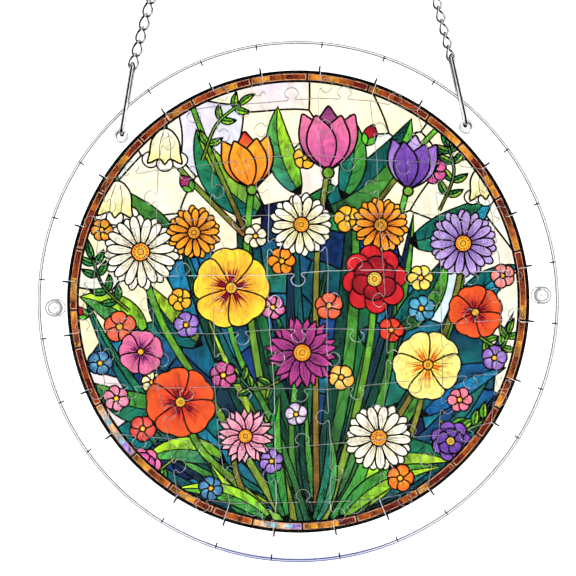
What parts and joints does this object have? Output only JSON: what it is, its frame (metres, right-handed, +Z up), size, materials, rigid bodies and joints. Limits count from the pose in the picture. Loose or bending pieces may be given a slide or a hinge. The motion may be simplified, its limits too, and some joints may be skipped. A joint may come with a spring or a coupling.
{
  "type": "acrylic puzzle suncatcher",
  "caption": "Round see-through suncatcher: a flower picture in coloured acrylic, cut as a jigsaw, held between two clear round plates with clear rivets and hung on a silver chain.",
  "frame": {"origin": "the middle of the eye of the chain's middle link, where a hook carries the whole piece", "axes": "+Z up along the hanging line, +X to the right seen from the printed front, +Y from the printed front to the back, across the thin disc"},
  "size_m": [0.2032, 0.011, 0.4346],
  "materials": {
    "clear_acrylic": "clear polished cast acrylic, see-through, with smooth glossy faces and edges",
    "printed_cream": "clear acrylic printed in cream, pale pink, lilac and pale blue glass colours with thin dark lead lines",
    "printed_petals": "clear acrylic printed in saturated flower colours, translucent, with dark outlines",
    "printed_leaves": "clear acrylic printed in leaf and stem greens, translucent, with dark outlines",
    "printed_ground": "clear acrylic printed in deep blue, teal and dark green, translucent",
    "printed_border": "clear acrylic with a narrow ring of amber, rust and maroon glass segments between dark lines",
    "silver_wire": "bright silver-plated steel wire, polished"
  },
  "bodies": {
    "root": {"front_plate": "clear_acrylic", "back_plate": "clear_acrylic", "tile_r1c2": "printed_cream", "tile_r1c3": "printed_cream", "tile_r1c4": "printed_cream", "tile_r1c5": "printed_cream", "tile_r1c6": "printed_cream", "tile_r2c1": "printed_cream", "tile_r2c2": "printed_cream", "tile_r2c3": "printed_cream", "tile_r2c4": "printed_cream", "tile_r2c5": "printed_cream", "tile_r2c6": "printed_cream", "tile_r2c7": "printed_cream", "tile_r3c1": "printed_petals", "tile_r3c2": "printed_petals", "tile_r3c3": "printed_petals", "tile_r3c4": "printed_petals", "tile_r3c5": "printed_petals", "tile_r3c6": "printed_petals", "tile_r3c7": "printed_petals", "tile_r4c1": "printed_petals", "tile_r4c2": "printed_petals", "tile_r4c3": "printed_petals", "tile_r4c4": "printed_petals", "tile_r4c5": "printed_petals", "tile_r4c6": "printed_petals", "tile_r4c7": "printed_petals", "tile_r5c1": "printed_leaves", "tile_r5c2": "printed_leaves", "tile_r5c3": "printed_leaves", "tile_r5c4": "printed_leaves", "tile_r5c5": "printed_leaves", "tile_r5c6": "printed_leaves", "tile_r5c7": "printed_leaves", "tile_r6c1": "printed_leaves", "tile_r6c2": "printed_leaves", "tile_r6c3": "printed_leaves", "tile_r6c4": "printed_leaves", "tile_r6c5": "printed_leaves", "tile_r6c6": "printed_leaves", "tile_r6c7": "printed_leaves", "tile_r7c2": "printed_ground", "tile_r7c3": "printed_ground", "tile_r7c4": "printed_ground", "tile_r7c5": "printed_ground", "tile_r7c6": "printed_ground", "edge_tiles_1": "printed_border", "edge_tiles_2": "printed_border", "edge_tiles_3": "printed_border", "edge_tiles_4": "printed_border", "edge_tiles_5": "printed_border", "edge_tiles_6": "printed_border", "rivet_left": "clear_acrylic", "connector_left": "silver_wire", "chain_left": "silver_wire", "rivet_right": "clear_acrylic", "connector_right": "silver_wire", "chain_right": "silver_wire", "hanging_link": "silver_wire"}
  },
  "joints": []
}
